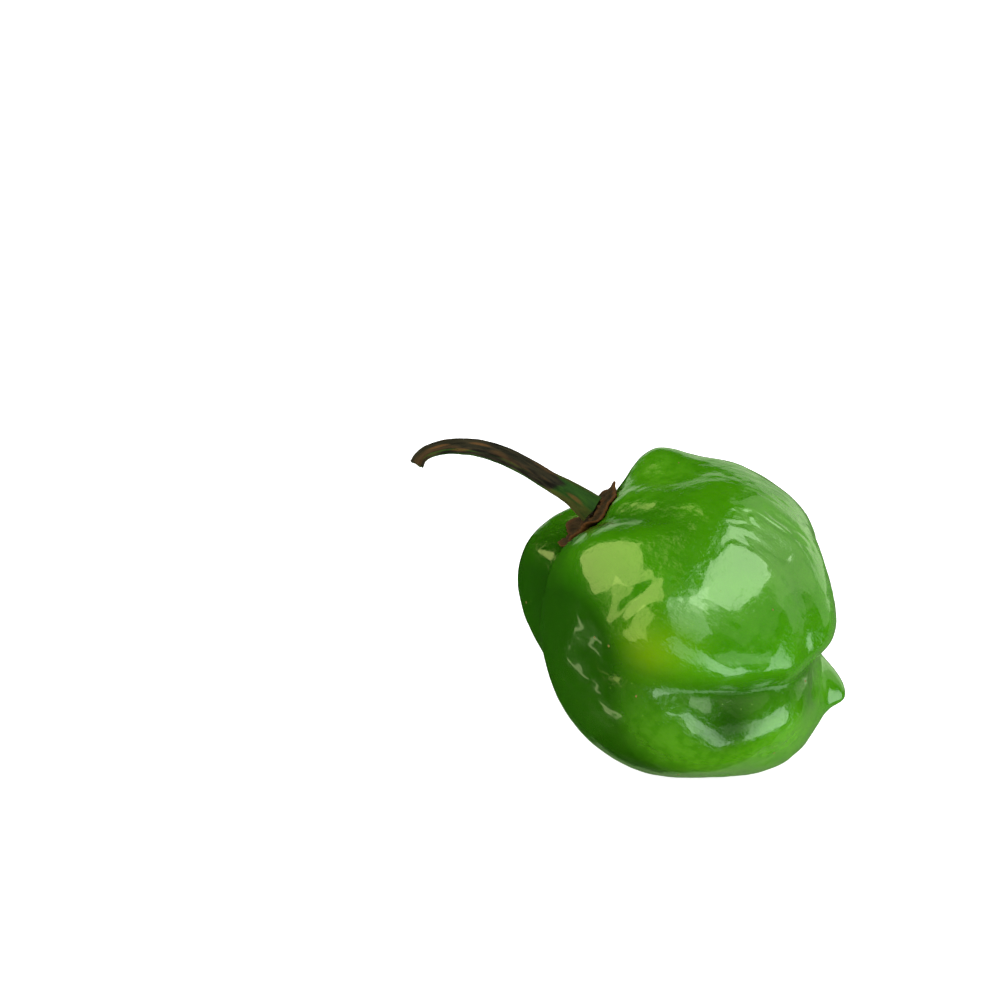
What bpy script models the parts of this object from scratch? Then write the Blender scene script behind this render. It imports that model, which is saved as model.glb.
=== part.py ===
"""A green chilli pepper of the round, lobed kind, lying on its side: pod, calyx and stem.

Lengths are in metres and +Z is up. The pod is drawn upright about its own axis, calyx
on top and tip below, as a radius over directions. A direction is a longitude (0 faces
the front, +90 right, -90 left, 180 back) and a latitude (+90 calyx, -90 tip). The
whole pepper is then rolled, leaned over and set down on its resting flat.
"""
import math

import bmesh
import bpy
import numpy as np
from mathutils import Matrix, Vector

MM = 0.001

# Pose on the table
ROLL = math.radians(37.95)
LEAN = math.radians(-58.04)
REST_HEIGHT = 23.0 * MM
PLACE_X = 2.0 * MM
PLACE_Y = 1.9 * MM

# Pod
BODY_RADIUS = 21.5 * MM
BODY_CENTRE = (-3.4 * MM, 0.0, -0.6 * MM)
POD_RINGS = 44
POD_SECTORS = 80
TIP_AT = (28, -85.8)
TIP_LENGTH = 2.8 * MM
TIP_WIDTH = 2.0 * MM
TIP_BLUNTNESS = 2.8
SEAT_HEIGHT = 18.4 * MM
SEAT_FLAT = 3.0 * MM
SEAT_REACH = 7.5 * MM

# Swellings and hollows: longitude, latitude, height in mm, width in mm
SWELLINGS = (
    (95, 53, 2.8, 5.0),
    (66, 50, -1.2, 6.5),
    (125, 50, 0.6, 6.0),
    (98, 24, 1.1, 8.0),
    (88, -16, 0.4, 6.5),
    (85, -46, -4.1, 8.5),
    (90, -74, -4.4, 6.5),
    (-146, 54, 5.2, 9.5),
    (-20, 50, 2.2, 7.0),
    (-22, 15, 0.9, 6.0),
    (-46, -24, 1.1, 6.5),
    (-80, -38, -0.7, 7.0),
    (-95, -61, 1.5, 7.7),
    (88, 80, -0.8, 5.0),
    (4, -68, -2.3, 5.6),
    (-20, -84, 1.3, 3.4),
)

# Valleys between the lobes: sharpness, then rows of longitude, latitude, depth, width
VALLEYS = (
    (0.12, ((5, 88, 0.8, 3.5), (4, 72, 1.6, 3.4), (16, 58, 1.8, 3.6), (23, 42, 1.2, 4.6),
            (22, 28, 0.6, 5.5), (26, 14, 0.4, 6.0), (32, 0, 0.5, 5.0), (31, -12, 0.6, 4.0),
            (22, -24, 0.7, 4.0), (10, -34, 0.7, 3.6), (6, -48, 0.9, 3.2))),
    (0.30, ((-60, 86, 0.4, 3.0), (-56, 50, 0.4, 4.5), (-50, 32, 0.5, 5.0), (-44, 20, 0.9, 4.6),
            (-40, 11, 1.4, 4.2), (-36, 0, 1.9, 3.8), (-31, -11, 2.3, 3.6), (-25, -23, 2.4, 3.4),
            (-18, -34, 2.3, 3.2), (-9, -47, 2.0, 3.0), (8, -59, 1.6, 2.9), (36, -66, 1.0, 3.2),
            (66, -64, 0.3, 3.6))),
    (0.20, ((-100, 88, 1.0, 3.0), (-98, 62, 2.8, 3.6), (-100, 38, 2.2, 4.2), (-106, 12, 1.0, 5.0),
            (-112, -30, 0.4, 5.0), (-120, -60, 0.8, 4.0), (-120, -80, 0.4, 2.8))),
    (0.15, ((140, 88, 0.9, 3.2), (138, 58, 2.2, 3.8), (132, 30, 1.3, 4.6), (128, 0, 0.9, 5.0),
            (128, -35, 1.1, 4.4), (135, -65, 1.2, 3.4), (140, -80, 0.5, 2.6))),
)

# Calyx
CALYX_CENTRE = (0.4 * MM, 0.5 * MM)
CALYX_RADIUS = 5.4 * MM
CALYX_THICKNESS = 0.8 * MM
CALYX_GAP = 0.35 * MM
CALYX_RINGS = 7
CALYX_SECTORS = 56
CALYX_TEETH = ((-100, 0.7), (-48, 0.5), (2, 0.9), (48, 0.4), (92, 0.8), (150, 0.5), (205, 0.9))

# Stem: points along its middle (x, y, z in mm) with the radius there in mm
STEM_POINTS = (
    (1.2, 0.6, 20.9, 1.95), (1.3, 0.6, 23.0, 1.58), (1.0, 0.6, 26.0, 1.38), (0.7, 0.5, 29.9, 1.32),
    (-0.1, 0.4, 34.3, 1.30), (-1.8, 0.3, 38.2, 1.18), (-4.4, 0.2, 41.3, 1.00),
    (-6.4, 0.1, 42.3, 0.95), (-7.6, 0.0, 42.2, 1.05),
)
STEM_SIDES = 4
GAP = 0.3 * MM


def clear_scene():
    for obj in list(bpy.data.objects):
        bpy.data.objects.remove(obj, do_unlink=True)


def directions(lon, lat):
    """Unit directions for longitudes and latitudes in degrees."""
    lon = np.radians(np.asarray(lon, float))
    lat = np.radians(np.asarray(lat, float))
    return np.stack([np.cos(lat) * np.sin(lon), -np.cos(lat) * np.cos(lon), np.sin(lat)], -1)


def smooth_path(rows, steps=6):
    """Rows joined by a smooth curve that passes through each of them."""
    p = np.asarray(rows, float)
    p = np.vstack([2 * p[0] - p[1], p, 2 * p[-1] - p[-2]])
    out = []
    for i in range(1, len(p) - 2):
        for t in np.arange(steps) / steps:
            bend = 2 * p[i - 1] - 5 * p[i] + 4 * p[i + 1] - p[i + 2]
            twist = 3 * p[i] - p[i - 1] - 3 * p[i + 1] + p[i + 2]
            out.append(p[i] + 0.5 * ((p[i + 1] - p[i - 1]) * t + bend * t ** 2 + twist * t ** 3))
    out.append(p[-2])
    return np.array(out)


def valley_depth(d, sharp, rows):
    """How deep a valley cuts at directions d."""
    path = smooth_path(rows)
    points = directions(path[:, 0], path[:, 1])
    depth = np.zeros(len(d))
    for a, b, row_a, row_b in zip(points[:-1], points[1:], path[:-1], path[1:]):
        along = b - a
        t = np.clip(((d - a) @ along) / (along @ along), 0, 1)
        away = np.linalg.norm(d - a - t[:, None] * along, axis=1) * BODY_RADIUS
        here = away / ((row_a[3] + (row_b[3] - row_a[3]) * t) * MM)
        crease = np.exp(-2.2 * (np.sqrt(here ** 2 + 0.0144) - 0.12))
        cut = (row_a[2] + (row_b[2] - row_a[2]) * t) * MM
        depth = np.maximum(depth, cut * (sharp * crease + (1 - sharp) * np.exp(-here ** 2)))
    return depth


def swelling(d, lon, lat, height, width, bluntness=2.0):
    away = np.linalg.norm(d - directions(lon, lat), axis=1) * BODY_RADIUS
    return height * np.exp(-(away / width) ** bluntness)


def down_direction():
    """The direction in the pod's own frame that points at the table."""
    turn = (Matrix.Rotation(LEAN, 3, "Y") @ Matrix.Rotation(ROLL, 3, "Z")).transposed()
    return np.array(turn @ Vector((0, 0, -1)))


def seat(d, r):
    """The flat on top that the calyx sits on, eased into the lobes round it."""
    up = np.maximum(d[:, 2], 0.3)
    flat = SEAT_HEIGHT / up
    away = np.hypot(d[:, 0] * flat - CALYX_CENTRE[0], d[:, 1] * flat - CALYX_CENTRE[1])
    share = np.clip((away - SEAT_FLAT) / (SEAT_REACH - SEAT_FLAT), 0, 1)
    share = share * share * (3 - 2 * share)
    return np.where(d[:, 2] > 0.3, flat + (r - flat) * share, r)


def pod_radius(d):
    """Distance from the pod's middle to its skin along directions d."""
    centre = np.array(BODY_CENTRE)
    toward = d @ centre
    r = toward + np.sqrt(BODY_RADIUS ** 2 - centre @ centre + toward ** 2)
    for lon, lat, height, width in SWELLINGS:
        r = r + swelling(d, lon, lat, height * MM, width * MM)
    for sharp, rows in VALLEYS:
        r = r - valley_depth(d, sharp, rows)
    r = r + swelling(d, *TIP_AT, TIP_LENGTH, TIP_WIDTH, TIP_BLUNTNESS)
    r = seat(d, r)
    facing = d @ down_direction()
    limit = np.where(facing > 0.2, REST_HEIGHT / np.maximum(facing, 0.2), 1.0)
    return np.minimum(r, limit)


def material(name, colour, roughness, coat=0.0):
    made = bpy.data.materials.new(name)
    made.use_nodes = True
    shader = made.node_tree.nodes["Principled BSDF"]
    shader.inputs["Base Color"].default_value = (*colour, 1)
    shader.inputs["Roughness"].default_value = roughness
    shader.inputs["Coat Weight"].default_value = coat
    made.diffuse_color = (*colour, 1)
    return made


def add_object(name, data, surface, collection, pose):
    obj = bpy.data.objects.new(name, data)
    data.materials.append(surface)
    collection.objects.link(obj)
    obj.parent = pose
    return obj


def mesh_from(name, bm):
    bmesh.ops.recalc_face_normals(bm, faces=bm.faces[:])
    mesh = bpy.data.meshes.new(name)
    bm.to_mesh(mesh)
    bm.free()
    return mesh


def make_pod(surface, collection, pose):
    """A sphere of rings and sectors whose points move out to the pod's skin."""
    bm = bmesh.new()
    bmesh.ops.create_uvsphere(bm, u_segments=POD_SECTORS, v_segments=POD_RINGS, radius=1.0)
    points = np.array([v.co[:] for v in bm.verts])
    points /= np.linalg.norm(points, axis=1)[:, None]
    skin = points * pod_radius(points)[:, None]
    for vert, place in zip(bm.verts, skin):
        vert.co = place
    bmesh.ops.triangulate(bm, faces=bm.faces[:])
    obj = add_object("pod", mesh_from("pod", bm), surface, collection, pose)
    for polygon in obj.data.polygons:
        polygon.use_smooth = True
    return obj


def calyx_edge(angle):
    """Radius of the calyx margin at an angle, with its uneven teeth."""
    r = CALYX_RADIUS - 0.45 * MM
    for at, height in CALYX_TEETH:
        away = (math.degrees(angle) - at + 180) % 360 - 180
        r += height * MM * math.exp(-(away / 15) ** 2)
    return r


def calyx_lift(share, angle):
    """How far the calyx stands off the skin: its margin curls up here and there."""
    curl = 0.25 + 0.55 * math.cos(angle - math.radians(130)) ** 2
    return CALYX_GAP + curl * MM * max(0.0, share - 0.55) ** 2 / 0.2


def make_calyx(surface, collection, pose):
    """A thin toothed saucer that follows the skin under it."""
    bm = bmesh.new()
    middle = Vector((*CALYX_CENTRE, 0))
    grid = []
    for ring in range(CALYX_RINGS + 1):
        share = ring / CALYX_RINGS
        row = []
        for sector in range(CALYX_SECTORS if ring else 1):
            angle = 2 * math.pi * sector / CALYX_SECTORS
            out = share * calyx_edge(angle)
            spot = middle + Vector((math.sin(angle), -math.cos(angle), 0)) * out
            row.append((spot.x, spot.y, calyx_lift(share, angle)))
        grid.append(row)
    verts = [[bm.verts.new(place_on_pod(*spot)) for spot in row] for row in grid]
    for sector in range(CALYX_SECTORS):
        after = (sector + 1) % CALYX_SECTORS
        bm.faces.new((verts[0][0], verts[1][sector], verts[1][after]))
        for ring in range(1, CALYX_RINGS):
            low, high = verts[ring], verts[ring + 1]
            bm.faces.new((low[sector], high[sector], high[after], low[after]))
    mesh = mesh_from("calyx", bm)
    obj = add_object("calyx", mesh, surface, collection, pose)
    if mesh.polygons[0].normal.z < 0:
        mesh.flip_normals()
    shell = obj.modifiers.new("thickness", "SOLIDIFY")
    shell.thickness = CALYX_THICKNESS
    shell.offset = 1.0
    return obj


def skin_height(x, y):
    """Height of the pod's skin above (x, y) near the calyx."""
    z = 19.0 * MM
    for _ in range(12):
        spot = np.array([x, y, z])
        r = pod_radius((spot / np.linalg.norm(spot))[None, :])[0]
        z = math.sqrt(max(r * r - x * x - y * y, 1e-12))
    return z


def place_on_pod(x, y, lift):
    return (x, y, skin_height(x, y) + lift)


def make_stem(surface, collection, pose):
    """A tube that is wide at the calyx, bends over and ends in a blunt cut."""
    data = bpy.data.curves.new("stem", "CURVE")
    data.dimensions = "3D"
    data.bevel_depth = 1.0 * MM
    data.bevel_resolution = STEM_SIDES
    data.resolution_u = 5
    data.use_fill_caps = True
    line = data.splines.new("BEZIER")
    line.bezier_points.add(len(STEM_POINTS) - 1)
    base = SEAT_HEIGHT + CALYX_GAP + CALYX_THICKNESS + GAP
    for index, (point, (x, y, z, radius)) in enumerate(zip(line.bezier_points, STEM_POINTS)):
        z = z * MM if index else base
        point.co = (x * MM, y * MM, z)
        point.radius = radius
        point.handle_left_type = "AUTO"
        point.handle_right_type = "AUTO"
    return add_object("stem", data, surface, collection, pose)


def main():
    clear_scene()
    collection = bpy.data.collections.new("chilli pepper")
    bpy.context.scene.collection.children.link(collection)
    pose = bpy.data.objects.new("pose", None)
    collection.objects.link(pose)
    turn = Matrix.Rotation(LEAN, 4, "Y") @ Matrix.Rotation(ROLL, 4, "Z")
    pose.matrix_world = Matrix.Translation((PLACE_X, PLACE_Y, REST_HEIGHT)) @ turn
    skin = material("pod skin", (0.055, 0.28, 0.006), 0.22, 0.6)
    husk = material("calyx husk", (0.07, 0.05, 0.015), 0.75)
    bark = material("stem bark", (0.06, 0.055, 0.018), 0.8)
    make_pod(skin, collection, pose)
    make_calyx(husk, collection, pose)
    make_stem(bark, collection, pose)


main()
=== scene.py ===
import math

import bmesh
import bpy
import numpy as np
from mathutils import Matrix, Vector


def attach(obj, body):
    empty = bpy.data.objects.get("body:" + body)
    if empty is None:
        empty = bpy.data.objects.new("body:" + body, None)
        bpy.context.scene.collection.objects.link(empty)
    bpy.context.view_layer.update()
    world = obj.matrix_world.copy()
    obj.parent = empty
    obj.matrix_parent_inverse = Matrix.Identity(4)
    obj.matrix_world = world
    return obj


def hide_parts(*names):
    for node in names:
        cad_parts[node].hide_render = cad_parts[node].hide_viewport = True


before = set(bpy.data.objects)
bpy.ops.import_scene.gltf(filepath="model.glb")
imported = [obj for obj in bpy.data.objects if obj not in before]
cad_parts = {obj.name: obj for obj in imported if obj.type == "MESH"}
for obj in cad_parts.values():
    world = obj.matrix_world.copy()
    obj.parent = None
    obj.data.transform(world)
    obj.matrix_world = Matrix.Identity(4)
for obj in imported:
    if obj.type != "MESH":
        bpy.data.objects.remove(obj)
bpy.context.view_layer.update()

# A green chilli pepper of the round, lobed kind, lying on its side.
# Lengths are in metres, +Z is up, and the origin is on the table under the pod.
# The pod is worked out upright about its own axis, calyx on top and tip below:
# longitude 0 faces the front, +90 right, -90 left; latitude +90 calyx, -90 tip.
MM = 0.001

# Pose on the table
ROLL = math.radians(37.95)
LEAN = math.radians(-58.04)
REST_HEIGHT = 23.0 * MM
PLACE = (2.0 * MM, 1.9 * MM)
TURN = Matrix.Rotation(LEAN, 4, "Y") @ Matrix.Rotation(ROLL, 4, "Z")
POSE = Matrix.Translation((*PLACE, REST_HEIGHT)) @ TURN

# Pod
BODY_RADIUS = 21.5 * MM
BODY_CENTRE = (-3.4 * MM, 0.0, -0.6 * MM)
POD_RINGS = 230
POD_SECTORS = 360
TIP_AT = (38, -85)
TIP_LENGTH = 3.0 * MM
TIP_WIDTH = 2.5 * MM
TIP_BLUNTNESS = 2.4
SEAT_HEIGHT = 18.4 * MM
SEAT_FLAT = 3.0 * MM
SEAT_REACH = 7.5 * MM
SEAT_FACING = 0.3
TABLE_FACING = 0.2
SKIN_INSET = 0.03 * MM

# Swellings and hollows: longitude, latitude, height in mm, width in mm
SWELLINGS = (
    (95, 53, 2.8, 5.0),
    (66, 50, -1.2, 6.5),
    (125, 50, 0.6, 6.0),
    (98, 24, 1.1, 8.0),
    (88, -16, 0.4, 6.5),
    (85, -46, -4.1, 8.5),
    (90, -74, -4.4, 6.5),
    (-146, 54, 5.2, 9.5),
    (-20, 50, 2.2, 7.0),
    (-22, 15, 0.9, 6.0),
    (-46, -24, 1.1, 6.5),
    (-80, -38, -0.7, 7.0),
    (-95, -61, 1.5, 7.7),
    (88, 80, -0.8, 5.0),
    (4, -68, -2.3, 5.6),
    (-20, -84, 1.3, 3.4),
)

# Valleys between the lobes: sharpness, then rows of longitude, latitude, depth and width in mm
VALLEYS = (
    (0.12, ((5, 88, 0.8, 3.5), (4, 72, 1.6, 3.4), (16, 58, 1.8, 3.6), (23, 42, 1.2, 4.6),
            (22, 28, 0.6, 5.5), (26, 14, 0.4, 6.0), (32, 0, 0.5, 5.0), (31, -12, 0.6, 4.0),
            (22, -24, 0.7, 4.0), (10, -34, 0.7, 3.6), (6, -48, 0.9, 3.2))),
    (0.30, ((-60, 86, 0.4, 3.0), (-56, 50, 0.4, 4.5), (-50, 32, 0.5, 5.0), (-44, 20, 0.9, 4.6),
            (-40, 11, 1.4, 4.2), (-36, 0, 1.9, 3.8), (-31, -11, 2.3, 3.6), (-25, -23, 2.4, 3.4),
            (-18, -34, 2.3, 3.2), (-9, -47, 2.0, 3.0), (8, -59, 1.6, 2.9), (36, -66, 1.0, 3.2),
            (66, -64, 0.3, 3.6))),
    (0.20, ((-100, 88, 1.0, 3.0), (-98, 62, 2.8, 3.6), (-100, 38, 2.2, 4.2), (-106, 12, 1.0, 5.0),
            (-112, -30, 0.4, 5.0), (-120, -60, 0.8, 4.0), (-120, -80, 0.4, 2.8))),
    (0.15, ((140, 88, 0.9, 3.2), (138, 58, 2.2, 3.8), (132, 30, 1.3, 4.6), (128, 0, 0.9, 5.0),
            (128, -35, 1.1, 4.4), (135, -65, 1.2, 3.4), (140, -80, 0.5, 2.6))),
)

# A valley's cut is nil past this many widths
VALLEY_REACH = 4.2

# The sharp part of a valley: how fast it fades and how round its bottom is, in widths
CREASE_FADE = 2.2
CREASE_ROUNDING = 0.12

# The waxless line along a valley: the valley's depth where it is full, and its width, in mm
CREASE_FULL_DEPTH = 1.6
CREASE_WIDTH = 0.9

# Shallow dents of the skin itself, in the same terms as the valleys
DENTS = (
    (0.25, ((-32, 29, 0.04, 0.9), (-26, 28, 0.16, 1.0), (-18, 27.5, 0.24, 1.0),
            (-12, 26.5, 0.18, 1.0), (-7, 26, 0.04, 1.0))),
    (0.20, ((-4, 46, 0.03, 1.6), (2, 40, 0.07, 2.0), (8, 33, 0.05, 2.2), (10, 25, 0.02, 2.2))),
    (0.30, ((-66, 30, 0.10, 2.0), (-63, 14, 0.30, 2.4), (-60, -2, 0.26, 2.4),
            (-58, -16, 0.08, 2.2))),
)

# Spots on the skin: a share, then longitude, latitude and width in mm
MATT_SPOTS = (
    (0.9, (-19, 9, 2.6)), (0.9, (-20, 2, 2.4)), (0.95, (-34, -26, 3.0)), (0.8, (2, -29, 2.6)),
    (0.7, (26, 57, 2.5)), (0.7, (31, 33, 2.0)), (0.6, (62, 40, 4.5)),
)
BLUSH_SPOTS = ((0.5, (-31, 14, 3.6)), (0.2, (-22, 8, 4.5)))
# Painted light: lighter green where more light falls, on the lower lobe, the lower left and the
# top lobe
PAINTED_LIGHT_SPOTS = (
    (0.75, (-58, -34, 9.0)), (0.8, (-55, -4, 6.5)), (0.35, (-62, 14, 5.0)), (0.5, (66, 55, 6.0)),
    (0.3, (-35, -62, 6.0)),
)
# Painted shade: darker green on the left flank and the rear lobe, round the calyx, in a hollow of
# the lower front and by the tip
PAINTED_SHADE_SPOTS = (
    (0.9, (-88, 14, 16.0)), (0.5, (-44, 34, 7.0)), (0.7, (-64, 36, 9.0)),
    (0.9, (-115, -10, 16.0)), (0.8, (-125, 45, 11.0)), (0.5, (0, 90, 5.5)),
    (0.75, (-34, -25, 3.6)), (0.5, (-10, -60, 3.0)),
)
WRINKLED_SPOTS = ((1.0, (46, 2, 6.5)), (0.7, (58, -16, 6.0)))
CALM_SPOTS = ((-0.7, (-60, 25, 13.0)),)
LUMPY_SPOTS = ((1.0, (-60, 25, 12.0)),)
NECK_SPOTS = ((1.0, (0, 90, 8.0)),)

# Waves pressed into the skin: depth, length across and along the pod (mm), seed,
# share all over, and spots that add to the share or take from it
SKIN_WAVES = (
    (0.12, (5.2, 5.2, 5.2), 11, 1, ()),
    (0.040, (1.9, 1.9, 1.9), 12, 1, ()),
    (0.042, (1.5, 1.5, 6.5), 13, 1, CALM_SPOTS),
    (0.018, (0.85, 0.85, 0.85), 16, 1, CALM_SPOTS),
    (0.05, (1.7, 1.7, 1.7), 17, 0, LUMPY_SPOTS),
    (0.10, (1.1, 1.1, 1.1), 15, 0, NECK_SPOTS),
)

# Wrinkles: thin furrows where a noise passes through nought
WRINKLE_DEPTH = 0.17
WRINKLE_LENGTH = (1.5, 1.5, 6.5)
WRINKLE_CLOSENESS = 0.75
WRINKLE_SHIFT = 4.0
WRINKLE_SEED = 14
WRINKLE_THINNESS = 3.0
WRINKLE_EDGE = 1.5

# Size in mm of the ripples that only the light shows, and the limits of the painted shade in the
# valleys and on the shaded spots
RIPPLE_SIZE = (1.25, 1.25, 3.2)
VALLEY_SHADE_FULL_DEPTH = 3.2
DARKEST_VALLEY_SHADE = 0.75
DARKEST_PAINTED_SHADE = 0.9

# Calyx
CALYX_CENTRE = (0.4 * MM, 0.5 * MM)
CALYX_RADIUS = 5.4 * MM
CALYX_THICKNESS = 1.1 * MM
CALYX_RIM = 0.3 * MM
CALYX_RINGS = 40
CALYX_SECTORS = 320
CALYX_TEETH = ((-100, 0.7), (-48, 0.5), (2, 0.9), (48, 0.4), (92, 0.8), (150, 0.5), (205, 0.9))
TOOTH_SPREAD = 13
TOOTH_ROOT = 0.45 * MM
CALYX_NICKS = ((0.22, 5.0, 21), (0.12, 16.0, 22))
MARGIN_FROM = 0.86
CURL_LEAST, CURL_EXTRA, CURL_UNEVEN = 0.25, 0.55, 0.35
CURL_TOWARDS = math.radians(130)
CURL_FROM = 0.5
CURL_SEED = 23
FIBRE_SEED = 24
FIBRE_DENSITY = (9.0, 0.8)
COLLAR_RADIUS = 2.75 * MM
COLLAR_HEIGHT = 0.35 * MM
COLLAR_WIDTH = 0.45 * MM
COLLAR_PAINT_WIDTH = 0.4 * MM
SKIN_HEIGHT_GUESS = 19.0 * MM
SKIN_HEIGHT_ROUNDS = 10

# Stem: points along its middle (x, y, z in mm) with the radius there in mm
STEM_POINTS = (
    (1.2, 0.6, 19.4, 2.10), (1.3, 0.6, 23.0, 1.58), (1.0, 0.6, 26.0, 1.38),
    (0.7, 0.5, 29.9, 1.32),
    (-0.1, 0.4, 34.3, 1.30), (-1.8, 0.3, 38.2, 1.18), (-4.4, 0.2, 41.3, 1.00),
    (-6.4, 0.1, 42.3, 0.95), (-7.6, 0.0, 42.2, 1.05),
)
STEM_FIBRE_DENSITY = (2.6, 0.35)
STEM_WELD = 0.000001

# Specks keep this far above the table
SPECK_CLEARANCE = 1.0 * MM

# Colours, as linear red, green and blue
SKIN_DEEP, SKIN_BRIGHT = (0.035, 0.215, 0.0004), (0.060, 0.290, 0.0008)
SKIN_FLECK = (0.085, 0.33, 0.002)
# Painted light: the lighter green of the pale spots
SKIN_PAINTED_LIGHT = (0.12, 0.40, 0.010)
SKIN_BLUSH = (0.26, 0.44, 0.001)
# Painted shade: the darker greens for the valleys and for the shaded spots
SKIN_VALLEY_SHADE = (0.018, 0.11, 0.001)
SKIN_PAINTED_SHADE = (0.006, 0.045, 0.0004)
SKIN_PORE = (0.16, 0.34, 0.03)
HUSK_DARK, HUSK_BROWN = (0.010, 0.006, 0.003), (0.050, 0.026, 0.008)
HUSK_FIBRE = (0.080, 0.040, 0.013)
HUSK_EDGE = (0.11, 0.040, 0.009)
BARK_DARK, BARK_BROWN = (0.007, 0.0055, 0.0035), (0.034, 0.026, 0.012)
BARK_DEEP_GREEN, BARK_GREEN = (0.010, 0.050, 0.002), (0.024, 0.085, 0.005)
BARK_RUST = (0.085, 0.036, 0.008)
BARK_DOT = (0.15, 0.062, 0.014)
SPECK_BROWN = (0.20, 0.11, 0.02)

# Wax on the skin where it is whole, and along a crease, as a share of that
WAX = 0.6
CREASE_WAX = 0.08

# Depth of the relief that only the light shows
SKIN_BUMP = 0.06 * MM
HUSK_BUMP = 0.25 * MM
BARK_BUMP = 0.3 * MM

# Light: azimuth and height seen from the pod and roll in degrees, size in metres, radiance
PANEL_DISTANCE = 1.2
FLOOR_SIZE = 6.0
FLOOR_WHITE = 0.90
ROOM_LIGHT = 0.95
FLOOR_GLOW = 0.80
GLOSS_PANELS = (
    ("warm window", -102, 47, 0, (1.38, 1.66), (1.65, 1.82, 0.56)),
    ("warm side pane", -148, 20, 0, (0.32, 1.2), (1.30, 1.45, 0.42)),
    ("cool sheet", 88, 45, 0, (1.9, 1.35), (0.26, 0.32, 0.15)),
    ("cool haze", 42, 18, 0, (1.5, 1.4), (0.42, 0.52, 0.30)),
    ("cool window", 92, 61, 0, (1.25, 0.76), (1.85, 2.40, 1.60)),
    ("cool side pane", 153, 45, 0, (0.36, 0.95), (1.05, 1.35, 0.92)),
    ("low right pane", 98, -22, 10, (0.70, 0.95), (1.40, 1.80, 1.40)),
    ("low left pane", 156, -17, 32, (0.42, 1.6), (1.50, 1.98, 1.54)),
    ("low middle pane", 128, -6, 0, (0.55, 0.5), (0.50, 0.66, 0.42)),
    ("left glint strip", -112, -24, -8, (0.55, 0.045), (1.4, 1.6, 0.8)),
    ("left low glint", -125, -42, 0, (0.25, 0.05), (1.4, 1.6, 0.8)),
    ("pale backdrop", 4, -3, 0, (2.4, 0.55), (0.45, 0.58, 0.36)),
    ("pale sweep", 18, -38, 0, (1.6, 1.3), (0.15, 0.24, 0.10)),
    ("green neighbour", -75, -24, 0, (1.9, 1.6), (0.015, 0.06, 0.005)),
)
LAMPS = (
    ("key softbox", 100, 52, 0, (1.4, 1.4), (0.35, 0.35, 0.35)),
    ("front softbox", 163, 25, 0, (1.8, 1.2), (0.6, 0.6, 0.6)),
)

# Picture
PICTURE_MM_PER_PIXEL = 0.1345
POD_MIDDLE_PIXEL = (704.4, 599.6)
CAMERA_AZIMUTH = math.radians(16.684)
CAMERA_HEIGHT = math.radians(33.5)
CAMERA_DISTANCE = 0.5
PICTURE_PIXELS = 1000
SENSOR_WIDTH = 36.0


# Shape rules

def directions(lon, lat):
    """Unit directions for longitudes and latitudes in degrees."""
    lon = np.radians(np.asarray(lon, float))
    lat = np.radians(np.asarray(lat, float))
    across = np.cos(lat)
    return np.stack([across * np.sin(lon), -across * np.cos(lon), np.sin(lat)], -1)


def smooth_path(rows, steps=6):
    """Rows joined by a smooth curve that passes through each of them."""
    p = np.asarray(rows, float)
    p = np.vstack([2 * p[0] - p[1], p, 2 * p[-1] - p[-2]])
    out = []
    for i in range(1, len(p) - 2):
        for t in np.arange(steps) / steps:
            bend = 2 * p[i - 1] - 5 * p[i] + 4 * p[i + 1] - p[i + 2]
            twist = 3 * p[i] - p[i - 1] - 3 * p[i + 1] + p[i + 2]
            out.append(p[i] + 0.5 * ((p[i + 1] - p[i - 1]) * t + bend * t ** 2 + twist * t ** 3))
    out.append(p[-2])
    return np.array(out)


def valley_depth(d, sharp, rows):
    """How deep a valley cuts at directions d."""
    path = smooth_path(rows)
    points = directions(path[:, 0], path[:, 1])
    depth = np.zeros(len(d))
    for a, b, row_a, row_b in zip(points[:-1], points[1:], path[:-1], path[1:]):
        reach = VALLEY_REACH * max(row_a[3], row_b[3]) * MM / BODY_RADIUS
        near = np.flatnonzero(d @ a > math.cos(min(reach, math.pi)))
        along, from_a = b - a, d[near] - a
        t = np.clip((from_a @ along) / (along @ along), 0, 1)
        away = np.linalg.norm(from_a - t[:, None] * along, axis=1) * BODY_RADIUS
        here = away / ((row_a[3] + (row_b[3] - row_a[3]) * t) * MM)
        rounded = np.sqrt(here ** 2 + CREASE_ROUNDING ** 2) - CREASE_ROUNDING
        crease = np.exp(-CREASE_FADE * rounded)
        cut = (row_a[2] + (row_b[2] - row_a[2]) * t) * MM
        section = sharp * crease + (1 - sharp) * np.exp(-here ** 2)
        depth[near] = np.maximum(depth[near], cut * section)
    return depth


def crease_share(d):
    """1 along the bottom of each deep valley, fading to 0 over about a millimetre."""
    share = np.zeros(len(d))
    for sharp, rows in VALLEYS:
        thin = [(lon, lat, min(1.0, depth / CREASE_FULL_DEPTH), CREASE_WIDTH)
                for lon, lat, depth, _ in rows]
        share = np.maximum(share, valley_depth(d, 0.0, thin) / MM)
    return share


def swelling(d, lon, lat, height, width, bluntness=2.0):
    """A round rise, or a hollow where its height is negative, at a place on the pod."""
    away = np.linalg.norm(d - directions(lon, lat), axis=1) * BODY_RADIUS
    return height * np.exp(-(away / width) ** bluntness)


def down_direction():
    """The direction in the pod's own frame that points at the table."""
    return np.array(TURN.to_3x3().transposed() @ Vector((0, 0, -1)))


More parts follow.
